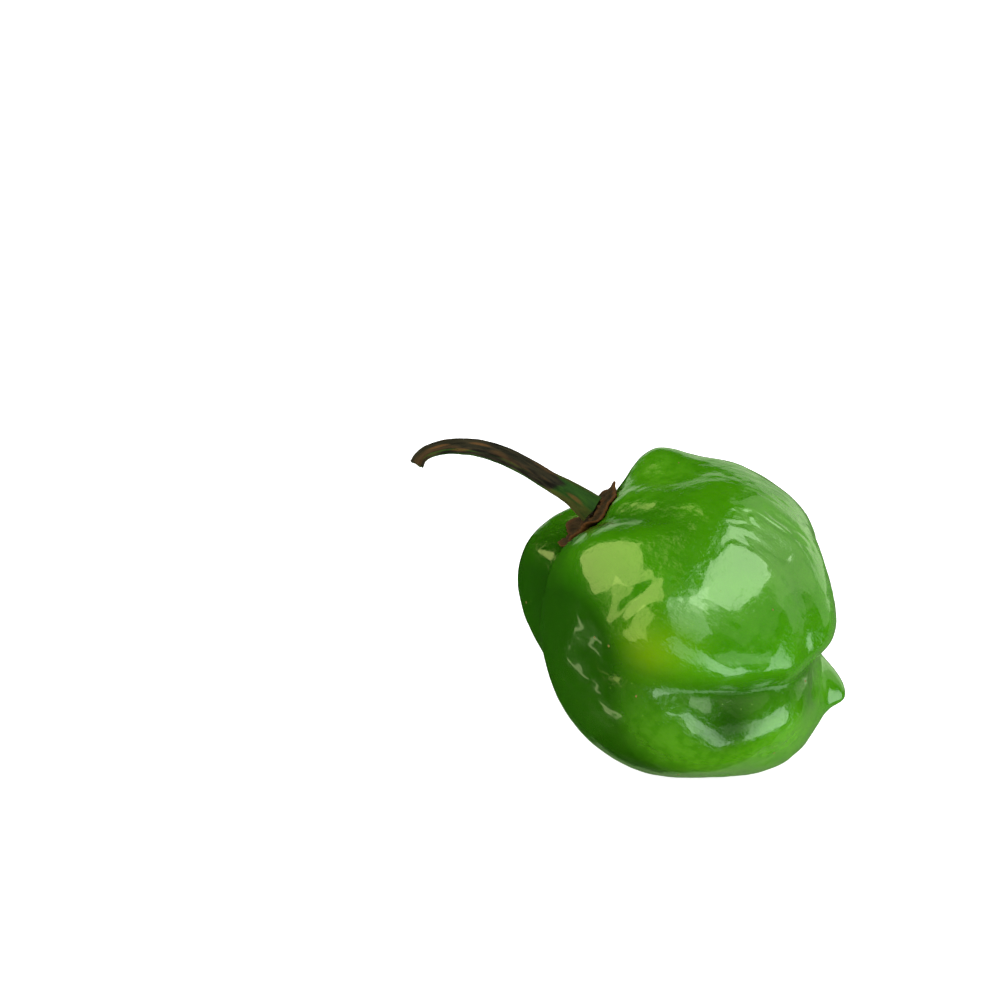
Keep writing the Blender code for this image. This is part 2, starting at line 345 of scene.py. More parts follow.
def seat(d, r):
    """The flat on top that the calyx sits on, eased into the lobes round it."""
    up = np.maximum(d[:, 2], SEAT_FACING)
    flat = SEAT_HEIGHT / up
    away = np.hypot(d[:, 0] * flat - CALYX_CENTRE[0], d[:, 1] * flat - CALYX_CENTRE[1])
    share = np.clip((away - SEAT_FLAT) / (SEAT_REACH - SEAT_FLAT), 0, 1)
    share = share * share * (3 - 2 * share)
    return np.where(d[:, 2] > SEAT_FACING, flat + (r - flat) * share, r)


def on_table(d, r):
    """The skin stops at the table."""
    facing = d @ down_direction()
    reach = REST_HEIGHT / np.maximum(facing, TABLE_FACING)
    limit = np.where(facing > TABLE_FACING, reach, 1.0)
    return np.minimum(r, limit)


def pod_radius(d, relief=0.0):
    """Distance from the pod's middle to its skin along directions d, less a fine relief."""
    centre = np.array(BODY_CENTRE)
    toward = d @ centre
    r = toward + np.sqrt(BODY_RADIUS ** 2 - centre @ centre + toward ** 2)
    for lon, lat, height, width in SWELLINGS:
        r = r + swelling(d, lon, lat, height * MM, width * MM)
    for sharp, rows in VALLEYS:
        r = r - valley_depth(d, sharp, rows)
    r = r + swelling(d, *TIP_AT, TIP_LENGTH, TIP_WIDTH, TIP_BLUNTNESS)
    return on_table(d, seat(d, r) - relief)


def lattice_noise(p, seed):
    """Smooth noise between -1 and 1 at points p, with one cell for each unit."""
    table = np.random.default_rng(seed).permutation(256)
    cell = np.floor(p).astype(int)
    f = p - cell
    f = f * f * f * (f * (f * 6 - 15) + 10)
    total = np.zeros(len(p))
    for corner in range(8):
        step = np.array([corner & 1, corner >> 1 & 1, corner >> 2 & 1])
        at = (cell + step) & 255
        value = table[(table[(table[at[:, 0]] + at[:, 1]) & 255] + at[:, 2]) & 255] / 127.5 - 1
        total += value * np.prod(np.where(step, f, 1 - f), axis=1)
    return total


def window(d, lon, lat, width):
    """1 at a place on the pod, fading to 0 over a width in millimetres."""
    return swelling(d, lon, lat, 1.0, width * MM)


def spots(d, rows):
    """Soft-edged spots added up at directions d."""
    return sum(share * window(d, *spot) for share, spot in rows)


def fine_relief(d):
    """Waves, wrinkles and dents pressed into the skin, all inwards, in metres."""
    p = d * BODY_RADIUS / MM
    depth = 0.0
    for height, length, seed, all_over, rows in SKIN_WAVES:
        share = all_over + spots(d, rows)
        depth = depth + height * share * (1 + lattice_noise(p / np.array(length), seed))
    stretched = p / np.array(WRINKLE_LENGTH) * WRINKLE_CLOSENESS + WRINKLE_SHIFT
    furrow = np.clip(np.abs(lattice_noise(stretched, WRINKLE_SEED)) * WRINKLE_THINNESS, 0, 1)
    wrinkles = WRINKLE_DEPTH * spots(d, WRINKLED_SPOTS) * (1 - furrow) ** WRINKLE_EDGE
    dents = sum(valley_depth(d, sharp, rows) for sharp, rows in DENTS)
    return (depth + wrinkles) * MM + dents + SKIN_INSET


# Mesh helpers

def give_points(mesh, name, values):
    """A number or a vector for each point of a mesh, for its material to read."""
    values = np.asarray(values, np.float32)
    kind = "FLOAT_VECTOR" if values.ndim == 2 else "FLOAT"
    layer = mesh.attributes.new(name, kind, "POINT")
    layer.data.foreach_set("vector" if values.ndim == 2 else "value", values.ravel())


def number_at_points(mesh, name):
    """A number that was kept for each point of a mesh."""
    values = np.zeros(len(mesh.vertices), np.float32)
    mesh.attributes[name].data.foreach_get("value", values)
    return values


def vectors_of(mesh, name):
    """The places ("co") or normals ("normal") of a mesh's points."""
    flat = np.empty(len(mesh.vertices) * 3, np.float32)
    mesh.vertices.foreach_get(name, flat)
    return flat.reshape(-1, 3)


def face_outwards(mesh, weld=0.0):
    """Turns the faces of a closed mesh outwards, after welding points nearer than weld."""
    bm = bmesh.new()
    bm.from_mesh(mesh)
    if weld:
        bmesh.ops.remove_doubles(bm, verts=bm.verts[:], dist=weld)
    bmesh.ops.recalc_face_normals(bm, faces=bm.faces[:])
    bm.to_mesh(mesh)
    bm.free()


def finished(name, mesh, material):
    """An object for a mesh that is already in place, smooth and with one material."""
    mesh.materials.clear()
    mesh.materials.append(material)
    mesh.polygons.foreach_set("use_smooth", [True] * len(mesh.polygons))
    obj = bpy.data.objects.new(name, mesh)
    bpy.context.scene.collection.objects.link(obj)
    return obj


def set_pose(mesh):
    """Lays a mesh made upright down on the table."""
    mesh.transform(POSE)
    mesh.update()


# Node helpers

def node(tree, kind, sockets=None, **settings):
    """A new node with its settings and the values of its sockets."""
    made = tree.nodes.new(kind)
    for key, value in settings.items():
        setattr(made, key, value)
    for key, value in (sockets or {}).items():
        made.inputs[key].default_value = value
    return made


def feed(tree, socket, value):
    """Links a socket to another socket, or sets it to a plain value."""
    if isinstance(value, bpy.types.NodeSocket):
        tree.links.new(value, socket)
    else:
        socket.default_value = value


def mix_colour(tree, share, first, second):
    """A colour between first and second, which may each be a colour or a socket."""
    mixed = node(tree, "ShaderNodeMix", data_type="RGBA", blend_type="MIX")
    sockets = mixed.inputs[0], mixed.inputs[6], mixed.inputs[7]
    for socket, value in zip(sockets, (share, first, second)):
        feed(tree, socket, (*value, 1) if isinstance(value, tuple) else value)
    return mixed.outputs[2]


def maths(tree, operation, first, second=0.0):
    """Arithmetic on two values, which may each be a number or a socket."""
    made = node(tree, "ShaderNodeMath", operation=operation)
    for socket, value in zip(made.inputs, (first, second)):
        feed(tree, socket, value)
    return made.outputs[0]


def ramp(tree, value, low, high, to_low=0.0, to_high=1.0):
    """A smooth change from to_low to to_high while a value goes from low to high."""
    made = node(tree, "ShaderNodeMapRange", interpolation_type="SMOOTHSTEP")
    names = "Value", "From Min", "From Max", "To Min", "To Max"
    for key, limit in zip(names, (value, low, high, to_low, to_high)):
        feed(tree, made.inputs[key], limit)
    return made.outputs["Result"]


def read(tree, name, output="Fac"):
    """What a mesh keeps for its points under a name."""
    return node(tree, "ShaderNodeAttribute", attribute_name=name).outputs[output]


def new_group(name, inputs, outputs):
    """An empty shader group with named number, colour or vector sockets."""
    group = bpy.data.node_groups.new(name, "ShaderNodeTree")
    for label, kind, value in inputs:
        socket = group.interface.new_socket(
            label, in_out="INPUT", socket_type="NodeSocket" + kind)
        if value is not None:
            socket.default_value = value
    for label, kind in outputs:
        group.interface.new_socket(label, in_out="OUTPUT", socket_type="NodeSocket" + kind)
    return group, group.nodes.new("NodeGroupInput"), group.nodes.new("NodeGroupOutput")


def use(tree, group, **values):
    """The group placed in a material; a value may be a number or a socket."""
    made = node(tree, "ShaderNodeGroup", node_tree=group)
    for key, value in values.items():
        feed(tree, made.inputs[key.replace("_", " ")], value)
    return made


# Shader groups

def place_in_units(group, inside, unit):
    """The group's place, counted in one of its own sizes."""
    scaled = node(group, "ShaderNodeVectorMath", operation="SCALE")
    feed(group, scaled.inputs[0], inside.outputs["Place"])
    feed(group, scaled.inputs["Scale"], maths(group, "DIVIDE", 1.0, inside.outputs[unit]))
    return scaled.outputs[0]


def cloudy_group():
    """Soft uneven patches, as pigment lies in skin and bark."""
    group, inside, out = new_group(
        "uneven pigment",
        [("Place", "Vector", None), ("Size", "Float", 1.0), ("Contrast", "Float", 0.3)],
        [("Mask", "Float"), ("Height", "Float")])
    cloud = node(group, "ShaderNodeTexNoise", {"Scale": 1.0, "Detail": 3.0, "Roughness": 0.55})
    feed(group, cloud.inputs["Vector"], place_in_units(group, inside, "Size"))
    low = maths(group, "SUBTRACT", 0.5, inside.outputs["Contrast"])
    high = maths(group, "ADD", 0.5, inside.outputs["Contrast"])
    feed(group, out.inputs["Mask"], ramp(group, cloud.outputs["Fac"], low, high))
    feed(group, out.inputs["Height"], cloud.outputs["Fac"])
    return group


def pores_group():
    """Small round dots at the middles of scattered cells."""
    group, inside, out = new_group(
        "tiny pores",
        [("Place", "Vector", None), ("Spacing", "Float", 1.0), ("Dot Share", "Float", 0.15)],
        [("Mask", "Float")])
    cells = node(group, "ShaderNodeTexVoronoi", {"Scale": 1.0})
    feed(group, cells.inputs["Vector"], place_in_units(group, inside, "Spacing"))
    edge = inside.outputs["Dot Share"]
    middle = maths(group, "MULTIPLY", edge, 0.4)
    feed(group, out.inputs["Mask"], ramp(group, cells.outputs["Distance"], middle, edge, 1.0, 0.0))
    return group


# Materials

def new_material(name, **sockets):
    """A material, its tree and its shader, with values for the shader's own sockets."""
    made = bpy.data.materials.new(name)
    made.use_nodes = True
    shader = made.node_tree.nodes["Principled BSDF"]
    for key, value in sockets.items():
        shader.inputs[key.replace("_", " ")].default_value = value
    return made, made.node_tree, shader


def add_bump(tree, shader, height, distance):
    """Relief in a shader's normal, from a height between 0 and about 1."""
    bump = node(tree, "ShaderNodeBump", {"Strength": 1.0, "Distance": distance})
    feed(tree, bump.inputs["Height"], height)
    feed(tree, shader.inputs["Normal"], bump.outputs["Normal"])


def waxy_skin(cloudy, pores):
    """Glossy green skin: flecked and blotched, with painted shade in the valleys and on shaded
    spots, painted light on pale spots, waxless in creases.
    """
    made, tree, shader = new_material(
        "waxy green skin", Coat_Weight=WAX, Coat_Roughness=0.06, Coat_IOR=2.1,
        Specular_IOR_Level=0.60, Subsurface_Weight=0.06, Subsurface_Radius=(0.3, 1.0, 0.1),
        Subsurface_Scale=0.002)
    grown = read(tree, "grown_at", "Vector")
    patches = use(tree, cloudy, Place=grown, Size=9.0, Contrast=0.22)
    flecks = use(tree, cloudy, Place=grown, Size=1.3, Contrast=0.3)
    dots = use(tree, pores, Place=grown, Spacing=1.5, Dot_Share=0.09)
    colour = mix_colour(tree, patches.outputs["Mask"], SKIN_DEEP, SKIN_BRIGHT)
    flecked = maths(tree, "MULTIPLY", flecks.outputs["Mask"], 0.22)
    colour = mix_colour(tree, flecked, colour, SKIN_FLECK)
    uneven = ramp(tree, flecks.outputs["Height"], 0.35, 0.6, 0.45, 1.0)
    # Painted light on the pale spots, broken up by the skin's own flecks
    mottled_painted_light = maths(tree, "MULTIPLY", read(tree, "pale"), uneven)
    colour = mix_colour(tree, mottled_painted_light, colour, SKIN_PAINTED_LIGHT)
    # valley and shaded mix in painted shade, darker green in the valleys and on the shaded spots;
    # blush is the skin's own yellow patch
    for name, tint in (("blush", SKIN_BLUSH), ("valley", SKIN_VALLEY_SHADE), ("shaded", SKIN_PAINTED_SHADE)):
        colour = mix_colour(tree, read(tree, name), colour, tint)
    dotted = maths(tree, "MULTIPLY", dots.outputs["Mask"], 0.35)
    colour = mix_colour(tree, dotted, colour, SKIN_PORE)
    feed(tree, shader.inputs["Base Color"], colour)
    whole = ramp(tree, read(tree, "crease"), 0.25, 0.85, 1.0, CREASE_WAX)
    wax = maths(tree, "MULTIPLY", whole, read(tree, "polish"))
    feed(tree, shader.inputs["Coat Weight"], maths(tree, "MULTIPLY", wax, WAX))
    rough = ramp(tree, flecks.outputs["Height"], 0.3, 0.7, 0.07, 0.15)
    feed(tree, shader.inputs["Roughness"], rough)
    grain = use(tree, cloudy, Place=grown, Size=0.55, Contrast=0.3)
    waves = use(tree, cloudy, Place=read(tree, "ripple_at", "Vector"), Size=1.0, Contrast=0.3)
    pits = maths(tree, "MULTIPLY", dots.outputs["Mask"], -0.3)
    height = maths(tree, "ADD", grain.outputs["Height"], pits)
    height = maths(tree, "ADD", height, maths(tree, "MULTIPLY", waves.outputs["Height"], 2.2))
    add_bump(tree, shader, height, SKIN_BUMP)
    return made


def dry_husk(cloudy):
    """Dry brown calyx: paler fibres over dark patches, and a rusty margin."""
    made, tree, shader = new_material("dry calyx husk", Specular_IOR_Level=0.12)
    place = read(tree, "grown_at", "Vector")
    patches = use(tree, cloudy, Place=place, Size=2.2, Contrast=0.2)
    fibres = use(tree, cloudy, Place=read(tree, "fibre_at", "Vector"), Size=1.0, Contrast=0.22)
    colour = mix_colour(tree, patches.outputs["Mask"], HUSK_DARK, HUSK_BROWN)
    streaked = maths(tree, "MULTIPLY", fibres.outputs["Mask"], 0.4)
    colour = mix_colour(tree, streaked, colour, HUSK_FIBRE)
    colour = mix_colour(tree, read(tree, "edge"), colour, HUSK_EDGE)
    feed(tree, shader.inputs["Base Color"], colour)
    rough = ramp(tree, fibres.outputs["Height"], 0.3, 0.7, 0.55, 0.85)
    feed(tree, shader.inputs["Roughness"], rough)
    add_bump(tree, shader, fibres.outputs["Height"], HUSK_BUMP)
    return made


def stalk_bark(cloudy, pores):
    """Brown-black bark with rusty patches and dots, green at its foot and underneath."""
    made, tree, shader = new_material("stalk bark", Specular_IOR_Level=0.12)
    fibre_at = read(tree, "fibre_at", "Vector")
    fibres = use(tree, cloudy, Place=fibre_at, Size=1.0, Contrast=0.2)
    patches = use(tree, cloudy, Place=fibre_at, Size=4.0, Contrast=0.16)
    dots = use(tree, pores, Place=fibre_at, Spacing=2.2, Dot_Share=0.3)
    bark = mix_colour(tree, fibres.outputs["Mask"], BARK_DARK, BARK_BROWN)
    green = mix_colour(tree, fibres.outputs["Mask"], BARK_DEEP_GREEN, BARK_GREEN)
    uneven = maths(tree, "MULTIPLY", patches.outputs["Height"], -0.22)
    foot = ramp(tree, maths(tree, "ADD", read(tree, "along"), uneven), 0.09, 0.13, 1.0, 0.0)
    shaded = maths(tree, "ADD", read(tree, "underside"), patches.outputs["Height"])
    under = ramp(tree, shaded, 0.85, 1.1)
    greenish = maths(tree, "MAXIMUM", foot, maths(tree, "MULTIPLY", under, 0.85))
    colour = mix_colour(tree, greenish, bark, green)
    rusty = maths(tree, "MULTIPLY", ramp(tree, patches.outputs["Height"], 0.50, 0.62), 0.45)
    colour = mix_colour(tree, rusty, colour, BARK_RUST)
    dotted = maths(tree, "MULTIPLY", dots.outputs["Mask"], 0.6)
    colour = mix_colour(tree, dotted, colour, BARK_DOT)
    feed(tree, shader.inputs["Base Color"], colour)
    rough = ramp(tree, fibres.outputs["Height"], 0.3, 0.7, 0.45, 0.75)
    feed(tree, shader.inputs["Roughness"], rough)
    add_bump(tree, shader, fibres.outputs["Height"], BARK_BUMP)
    return made


def speck_brown():
    """Corky brown for the specks."""
    made, _, _ = new_material("corky speck", Roughness=0.6, Base_Color=(*SPECK_BROWN, 1))
    return made


# Pod

def make_pod(material):
    """The fleshy pod, with what its material reads kept at its points."""
    bm = bmesh.new()
    bmesh.ops.create_uvsphere(bm, u_segments=POD_SECTORS, v_segments=POD_RINGS, radius=1.0)
    mesh = bpy.data.meshes.new("pod_skin")
    bm.to_mesh(mesh)
    bm.free()
    d = vectors_of(mesh, "co").astype(float)
    d /= np.linalg.norm(d, axis=1)[:, None]
    skin = d * pod_radius(d, fine_relief(d))[:, None]
    mesh.vertices.foreach_set("co", skin.ravel())
    valley = sum(valley_depth(d, sharp, rows) for sharp, rows in VALLEYS) / MM
    give_points(mesh, "grown_at", skin / MM)
    give_points(mesh, "ripple_at", skin / MM / np.array(RIPPLE_SIZE))
    # Painted shade in the valleys, darker where a valley cuts deeper
    give_points(mesh, "valley", np.clip(valley / VALLEY_SHADE_FULL_DEPTH, 0, DARKEST_VALLEY_SHADE))
    give_points(mesh, "crease", crease_share(d))
    give_points(mesh, "polish", np.clip(1 - spots(d, MATT_SPOTS), 0, 1))
    give_points(mesh, "blush", np.clip(spots(d, BLUSH_SPOTS), 0, 1))
    # Painted light, kept under the name pale
    give_points(mesh, "pale", np.clip(spots(d, PAINTED_LIGHT_SPOTS), 0, 1))
    # Painted shade, kept under the name shaded
    give_points(mesh, "shaded", np.clip(spots(d, PAINTED_SHADE_SPOTS), 0, DARKEST_PAINTED_SHADE))
    set_pose(mesh)
    return finished("pod_skin", mesh, material)


# Calyx

def ring_points(angle):
    """Points on a circle of radius 1 at angles in radians."""
    return np.stack([np.cos(angle), np.sin(angle), 0 * angle], -1)


def calyx_edge(angle):
    """Radius of the calyx margin at angles, with its uneven teeth and nicks."""
    r = np.full(len(angle), CALYX_RADIUS - TOOTH_ROOT)
    for at, height in CALYX_TEETH:
        away = (np.degrees(angle) - at + 180) % 360 - 180
        r = r + height * MM * np.exp(-(away / TOOTH_SPREAD) ** 2)
    ring = ring_points(angle)
    nicks = sum(deep * lattice_noise(ring * close, seed) for deep, close, seed in CALYX_NICKS)
    return r + nicks * MM


def skin_height(x, y):
    """Height of the pod's skin above points (x, y) near the calyx."""
    z = np.full(len(x), SKIN_HEIGHT_GUESS)
    for _ in range(SKIN_HEIGHT_ROUNDS):
        spot = np.stack([x, y, z], -1)
        d = spot / np.linalg.norm(spot, axis=1)[:, None]
        r = pod_radius(d, fine_relief(d))
        z = np.sqrt(np.maximum(r * r - x * x - y * y, 1e-12))
    return z


def saucer_faces():
    """Faces of a closed saucer whose points run ring by ring, top first, middles last."""
    half = CALYX_RINGS * CALYX_SECTORS
    faces = []
    for sector in range(CALYX_SECTORS):
        after = (sector + 1) % CALYX_SECTORS
        faces.append((2 * half, sector, after))
        faces.append((2 * half + 1, half + after, half + sector))
        for low in range(0, half - CALYX_SECTORS, CALYX_SECTORS):
            high = low + CALYX_SECTORS
            square = (low + sector, high + sector, high + after, low + after)
            faces.append(square)
            faces.append(tuple(half + square[corner] for corner in (0, 3, 2, 1)))
        rim = half - CALYX_SECTORS
        faces.append((rim + sector, half + rim + sector, half + rim + after, rim + after))
    return faces


def make_calyx(material):
    """A toothed saucer with radial fibres, standing off the skin at its curled margin."""
    angle = 2 * np.pi * np.arange(CALYX_SECTORS) / CALYX_SECTORS
    edge = calyx_edge(angle)
    share = (np.arange(1, CALYX_RINGS + 1) / CALYX_RINGS)[:, None]
    share = np.repeat(share, CALYX_SECTORS, axis=1)
    turn = np.repeat(angle[None, :], CALYX_RINGS, axis=0)
    out = share * edge[None, :]
    x = (CALYX_CENTRE[0] + np.sin(turn) * out).ravel()
    y = (CALYX_CENTRE[1] - np.cos(turn) * out).ravel()
    share, turn, out = share.ravel(), turn.ravel(), out.ravel()
    curl = CURL_LEAST + CURL_EXTRA * np.cos(turn - CURL_TOWARDS) ** 2
    curl = curl + CURL_UNEVEN * lattice_noise(ring_points(turn) * 3.0, CURL_SEED)
    outer = np.maximum(0.0, share - CURL_FROM) ** 2 / (1 - CURL_FROM) ** 2
    lift = np.clip(curl, 0.1, 1.2) * outer * MM
    around, outward = FIBRE_DENSITY
    fibre_at = np.stack(
        [np.cos(turn) * around, np.sin(turn) * around, out / MM * outward], -1)
    fibre = lattice_noise(fibre_at, FIBRE_SEED)
    thick = CALYX_RIM + (CALYX_THICKNESS - CALYX_RIM) * (1 - share ** 2.2)
    collar = COLLAR_HEIGHT * np.exp(-((out - COLLAR_RADIUS) / COLLAR_WIDTH) ** 2)
    collar = collar * (1 + 0.5 * fibre)
    bottom = skin_height(x, y) - 0.12 * MM * (1 - share) + lift
    top = bottom + thick + collar + 0.10 * MM * fibre * np.clip(share * 3, 0, 1)
    centre_low = SEAT_HEIGHT - 0.1 * MM
    centre_high = centre_low + CALYX_THICKNESS
    middles = [(*CALYX_CENTRE, centre_high), (*CALYX_CENTRE, centre_low)]
    points = [*zip(x, y, top), *zip(x, y, bottom), *middles]
    mesh = bpy.data.meshes.new("calyx_husk")
    mesh.from_pydata(points, [], saucer_faces())
    face_outwards(mesh)
    margin = np.clip((share - MARGIN_FROM) / (1 - MARGIN_FROM), 0, 1) ** 1.5
    ring = np.exp(-((out - COLLAR_RADIUS) / COLLAR_PAINT_WIDTH) ** 2)
    rusty = np.clip(margin * 0.8 + ring * 0.5, 0, 1)
    give_points(mesh, "edge", np.concatenate([rusty, margin, [0, 0]]))
    give_points(mesh, "fibre_at", np.concatenate([fibre_at, fibre_at, np.zeros((2, 3))]))
    give_points(mesh, "grown_at", np.array(points) / MM)
    set_pose(mesh)
    return finished("calyx_husk", mesh, material)


# Geometry nodes helpers

def new_growth(name, inputs):
    """A geometry nodes tree with named inputs, and its own input and output nodes."""
    tree = bpy.data.node_groups.new(name, "GeometryNodeTree")
    face = tree.interface
    face.new_socket("Geometry", in_out="INPUT", socket_type="NodeSocketGeometry")
    for label, kind, value in inputs:
        socket = face.new_socket(label, in_out="INPUT", socket_type="NodeSocket" + kind)
        socket.default_value = value
    face.new_socket("Geometry", in_out="OUTPUT", socket_type="NodeSocketGeometry")
    return tree, tree.nodes.new("NodeGroupInput"), tree.nodes.new("NodeGroupOutput")


def end_growth(tree, geometry, material, result):
    """Makes every instance real and gives it its material, as the last steps of a tree."""
    real = node(tree, "GeometryNodeRealizeInstances")
    feed(tree, real.inputs["Geometry"], geometry)
    painted = node(tree, "GeometryNodeSetMaterial", {"Material": material})
    feed(tree, painted.inputs["Geometry"], real.outputs["Geometry"])
    feed(tree, result.inputs["Geometry"], painted.outputs["Geometry"])
    return tree


def grown(obj, tree, values):
    """Puts a geometry nodes tree on an object and sets its named inputs."""
    modifier = obj.modifiers.new(tree.name, "NODES")
    modifier.node_group = tree
    for item in tree.interface.items_tree:
        if item.item_type == "SOCKET" and item.in_out == "INPUT" and item.name in values:
            modifier[item.identifier] = values[item.name]


def baked(obj, name):
    """The evaluated mesh of an object with its geometry nodes, as plain data."""
    bpy.context.view_layer.update()
    graph = bpy.context.evaluated_depsgraph_get()
    mesh = bpy.data.meshes.new_from_object(obj.evaluated_get(graph), depsgraph=graph)
    mesh.name = name
    data = obj.data
    bpy.data.objects.remove(obj)
    kept = bpy.data.curves if isinstance(data, bpy.types.Curve) else bpy.data.meshes
    kept.remove(data)
    return mesh


# Stem

def keep(tree, geometry, name, value):
    """Geometry that keeps a number under a name at each of its points."""
    stored = node(tree, "GeometryNodeStoreNamedAttribute", {"Name": name},
                  data_type="FLOAT", domain="POINT")
    feed(tree, stored.inputs["Geometry"], geometry)
    feed(tree, stored.inputs["Value"], value)
    return stored.outputs["Geometry"]


def stem_tree(material):
    """Geometry nodes: sweeps a ridged, knobbly round section along the stem's middle."""
    tree, given, result = new_growth("ridged stalk", (
        ("Steps Along", "Int", 150), ("Steps Around", "Int", 44),
        ("Ridges", "Float", 5.0), ("Ridge Depth", "Float", 0.08 * MM),
        ("Bark Depth", "Float", 0.14 * MM), ("Bark Size", "Float", 1.6 * MM),
        ("Seed", "Float", 3.0)))
    even = node(tree, "GeometryNodeResampleCurve")
    feed(tree, even.inputs["Curve"], given.outputs["Geometry"])
    feed(tree, even.inputs["Count"], given.outputs["Steps Along"])
    place = node(tree, "GeometryNodeSplineParameter")
    middle = keep(tree, even.outputs["Curve"], "along", place.outputs["Factor"])
    middle = keep(tree, middle, "run", place.outputs["Length"])
    section = node(tree, "GeometryNodeCurvePrimitiveCircle", {"Radius": 1.0})
    feed(tree, section.inputs["Resolution"], given.outputs["Steps Around"])
    round_place = node(tree, "GeometryNodeSplineParameter")
    profile = keep(tree, section.outputs["Curve"], "around", round_place.outputs["Factor"])
    sweep = node(tree, "GeometryNodeCurveToMesh", {"Fill Caps": True})
    feed(tree, sweep.inputs["Curve"], middle)
    feed(tree, sweep.inputs["Profile Curve"], profile)
    feed(tree, sweep.inputs["Scale"], node(tree, "GeometryNodeInputRadius").outputs[0])
    around = node(tree, "GeometryNodeInputNamedAttribute", {"Name": "around"}, data_type="FLOAT")
    turn = maths(tree, "MULTIPLY", around.outputs["Attribute"], 2 * math.pi)
    wave = maths(tree, "COSINE", maths(tree, "MULTIPLY", turn, given.outputs["Ridges"]))
    ridge = maths(tree, "MULTIPLY", wave, given.outputs["Ridge Depth"])
    bark = node(tree, "ShaderNodeTexNoise", {"Detail": 3.0}, noise_dimensions="4D")
    feed(tree, bark.inputs["Vector"], node(tree, "GeometryNodeInputPosition").outputs[0])
    feed(tree, bark.inputs["W"], given.outputs["Seed"])
    feed(tree, bark.inputs["Scale"], maths(tree, "DIVIDE", 1.0, given.outputs["Bark Size"]))
    uneven = maths(tree, "SUBTRACT", bark.outputs["Fac"], 0.62)
    knob = maths(tree, "MULTIPLY", uneven, given.outputs["Bark Depth"])
    inward = maths(tree, "SUBTRACT", ridge, given.outputs["Ridge Depth"])
    offset = node(tree, "ShaderNodeVectorMath", operation="SCALE")
    feed(tree, offset.inputs[0], node(tree, "GeometryNodeInputNormal").outputs[0])
    feed(tree, offset.inputs["Scale"], maths(tree, "ADD", inward, knob))
    shaped = node(tree, "GeometryNodeSetPosition")
    feed(tree, shaped.inputs["Geometry"], sweep.outputs["Mesh"])
    feed(tree, shaped.inputs["Offset"], offset.outputs[0])
    return end_growth(tree, shaped.outputs["Geometry"], material, result)


def make_stem(material):
    """The curved stalk, swept along its middle."""
    data = bpy.data.curves.new("stalk_middle", "CURVE")
    data.dimensions = "3D"
    data.resolution_u = 16
    line = data.splines.new("BEZIER")
    line.bezier_points.add(len(STEM_POINTS) - 1)
    for point, (x, y, z, radius) in zip(line.bezier_points, STEM_POINTS):
        point.co = (x * MM, y * MM, z * MM)
        point.radius = radius * MM
        point.handle_left_type = "AUTO"
        point.handle_right_type = "AUTO"
    guide = bpy.data.objects.new("stalk_middle", data)
    bpy.context.scene.collection.objects.link(guide)
    grown(guide, stem_tree(material), {"Ridges": 5.0, "Seed": 3.0})
    mesh = baked(guide, "stem_bark")
    face_outwards(mesh, STEM_WELD)
    turn = 2 * np.pi * number_at_points(mesh, "around")
    run = number_at_points(mesh, "run")
    around, along = STEM_FIBRE_DENSITY
    fibre_at = [np.cos(turn) * around, np.sin(turn) * around, run / MM * along]
    give_points(mesh, "fibre_at", np.stack(fibre_at, -1))
    set_pose(mesh)
    upward = vectors_of(mesh, "normal")[:, 2]
    give_points(mesh, "underside", np.clip(0.35 - upward, 0, 1))
    return finished("stem_bark", mesh, material)


# Specks

def speck_tree(material):
    """Geometry nodes: scatters small flattened corky dots over a skin."""
    tree, given, result = new_growth("scattered specks", (
        ("Specks Per Square Metre", "Float", 4000.0), ("Speck Radius", "Float", 0.13 * MM),
        ("Speck Flatness", "Float", 0.35), ("Seed", "Int", 5)))
    scatter = node(tree, "GeometryNodeDistributePointsOnFaces")
    feed(tree, scatter.inputs["Mesh"], given.outputs["Geometry"])
    feed(tree, scatter.inputs["Density"], given.outputs["Specks Per Square Metre"])
    feed(tree, scatter.inputs["Seed"], given.outputs["Seed"])
    ball = node(tree, "GeometryNodeMeshIcoSphere", {"Subdivisions": 2})
    feed(tree, ball.inputs["Radius"], given.outputs["Speck Radius"])
    size = node(tree, "FunctionNodeRandomValue", {2: 0.45, 3: 1.25}, data_type="FLOAT")
    feed(tree, size.inputs["Seed"], given.outputs["Seed"])
    squash = node(tree, "ShaderNodeCombineXYZ", {"X": 1.0, "Y": 1.3})
    feed(tree, squash.inputs["Z"], given.outputs["Speck Flatness"])
    scaled = node(tree, "ShaderNodeVectorMath", operation="SCALE")
    feed(tree, scaled.inputs[0], squash.outputs[0])
    feed(tree, scaled.inputs["Scale"], size.outputs[1])
    copies = node(tree, "GeometryNodeInstanceOnPoints")
    feed(tree, copies.inputs["Points"], scatter.outputs["Points"])
    feed(tree, copies.inputs["Rotation"], scatter.outputs["Rotation"])
    feed(tree, copies.inputs["Instance"], ball.outputs["Mesh"])
    feed(tree, copies.inputs["Scale"], scaled.outputs[0])
    return end_growth(tree, copies.outputs["Instances"], material, result)


def make_specks(skin, material):
    """Specks on the part of the skin that is well clear of the table."""
    bm = bmesh.new()
    bm.from_mesh(skin.data)
    low = [f for f in bm.faces if f.calc_center_median().z < SPECK_CLEARANCE]
    bmesh.ops.delete(bm, geom=low, context="FACES")
    mesh = bpy.data.meshes.new("speck_ground")
    bm.to_mesh(mesh)
    bm.free()
    ground = bpy.data.objects.new("speck_ground", mesh)
    bpy.context.scene.collection.objects.link(ground)
    grown(ground, speck_tree(material), {"Seed": 5})
    return finished("skin_specks", baked(ground, "skin_specks"), material)


# Stage

